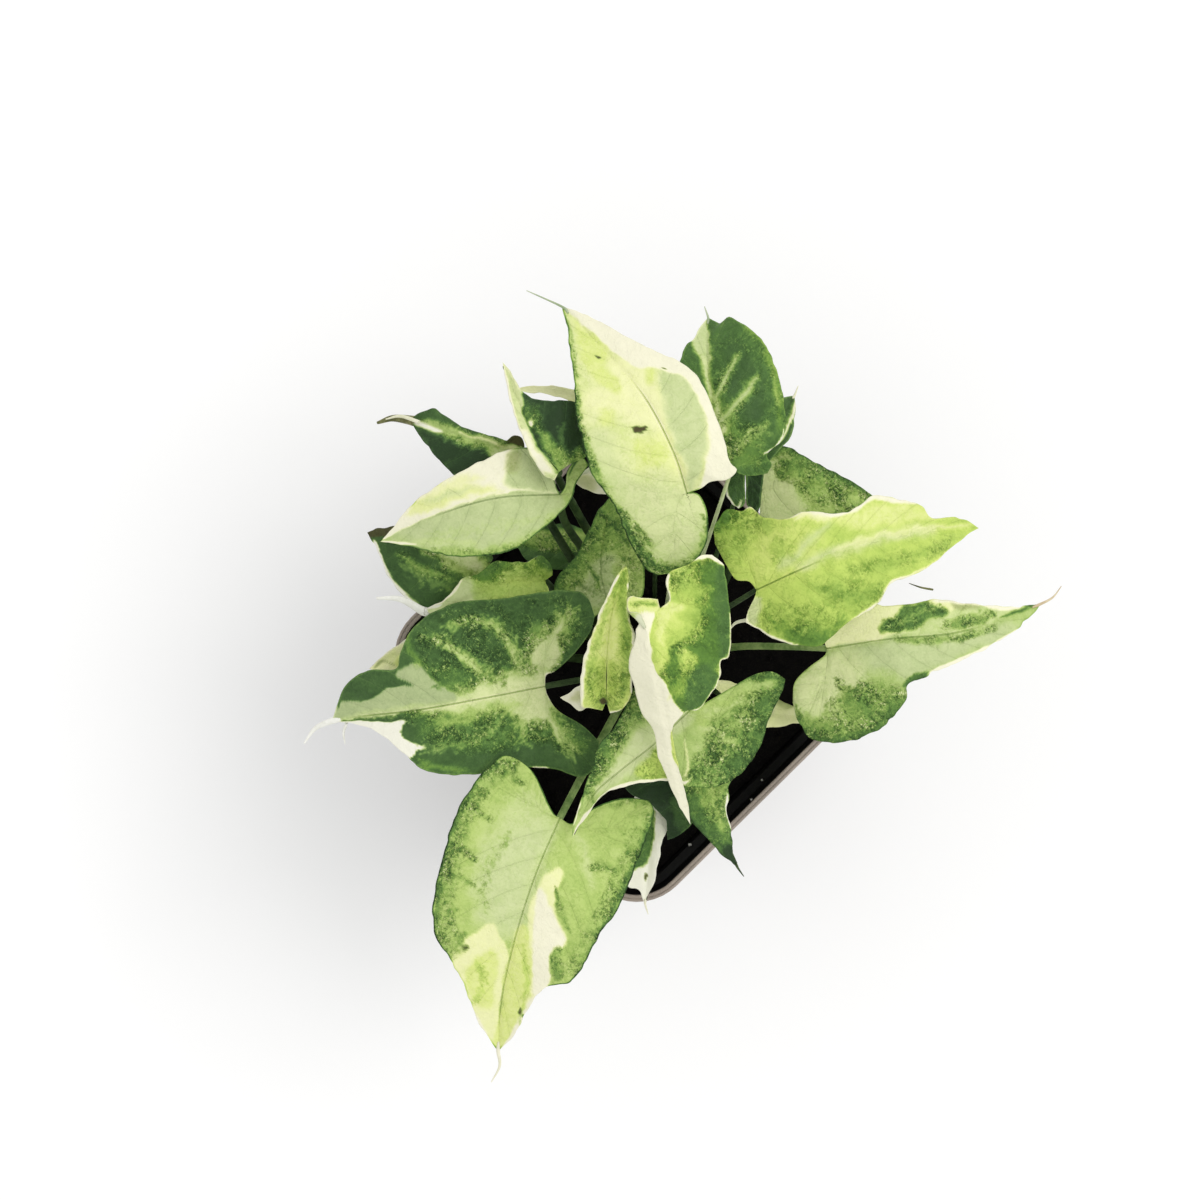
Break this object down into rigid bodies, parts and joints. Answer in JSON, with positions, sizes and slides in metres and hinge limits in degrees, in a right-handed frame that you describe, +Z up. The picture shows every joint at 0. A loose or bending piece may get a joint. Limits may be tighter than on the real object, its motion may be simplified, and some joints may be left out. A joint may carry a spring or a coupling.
{
  "type": "arrowhead plant",
  "caption": "Potted arrowhead plant: variegated arrow-shaped leaves on thin stalks rising from soil in a square nursery pot, for decorating a room or garden scene.",
  "frame": {"origin": "middle of the pot's base, on the surface it stands on", "axes": "+Z up, from the pot's base to its rim; the pot's sides face along X and Y; +Y is one of the pot's sides, and seen from above the leaf tips point all ways"},
  "size_m": [0.1544, 0.1954, 0.183],
  "materials": {
    "pot": "satin moulded plastic",
    "soil": null,
    "leaf_cream": "soft satin leaf skin, mostly cream",
    "leaf_pale": "soft satin leaf skin, pale green marbled with cream and dark green",
    "leaf_yellow": "soft satin leaf skin, yellow-green marbled with cream and dark green",
    "leaf_green": "soft satin leaf skin, mid green",
    "leaf_dark": "soft satin leaf skin, dark green with pale veins"
  },
  "bodies": {
    "root": {"pot": "pot", "soil": "soil", "leaf_01": "leaf_pale", "leaf_02": "leaf_dark", "leaf_03": "leaf_dark", "leaf_04": "leaf_green", "leaf_05": "leaf_yellow", "leaf_06": "leaf_pale", "leaf_07": "leaf_dark", "leaf_08": "leaf_pale", "leaf_09": "leaf_green", "leaf_10": "leaf_yellow", "leaf_11": "leaf_yellow", "leaf_12": "leaf_pale", "leaf_13": "leaf_dark", "leaf_14": "leaf_dark", "leaf_15": "leaf_cream", "leaf_16": "leaf_dark", "leaf_17": "leaf_yellow", "leaf_18": "leaf_green", "leaf_19": "leaf_dark", "leaf_20": "leaf_yellow", "leaf_21": "leaf_green", "leaf_22": "leaf_dark", "leaf_23": "leaf_cream", "leaf_24": "leaf_cream", "leaf_25": "leaf_cream"}
  },
  "joints": []
}
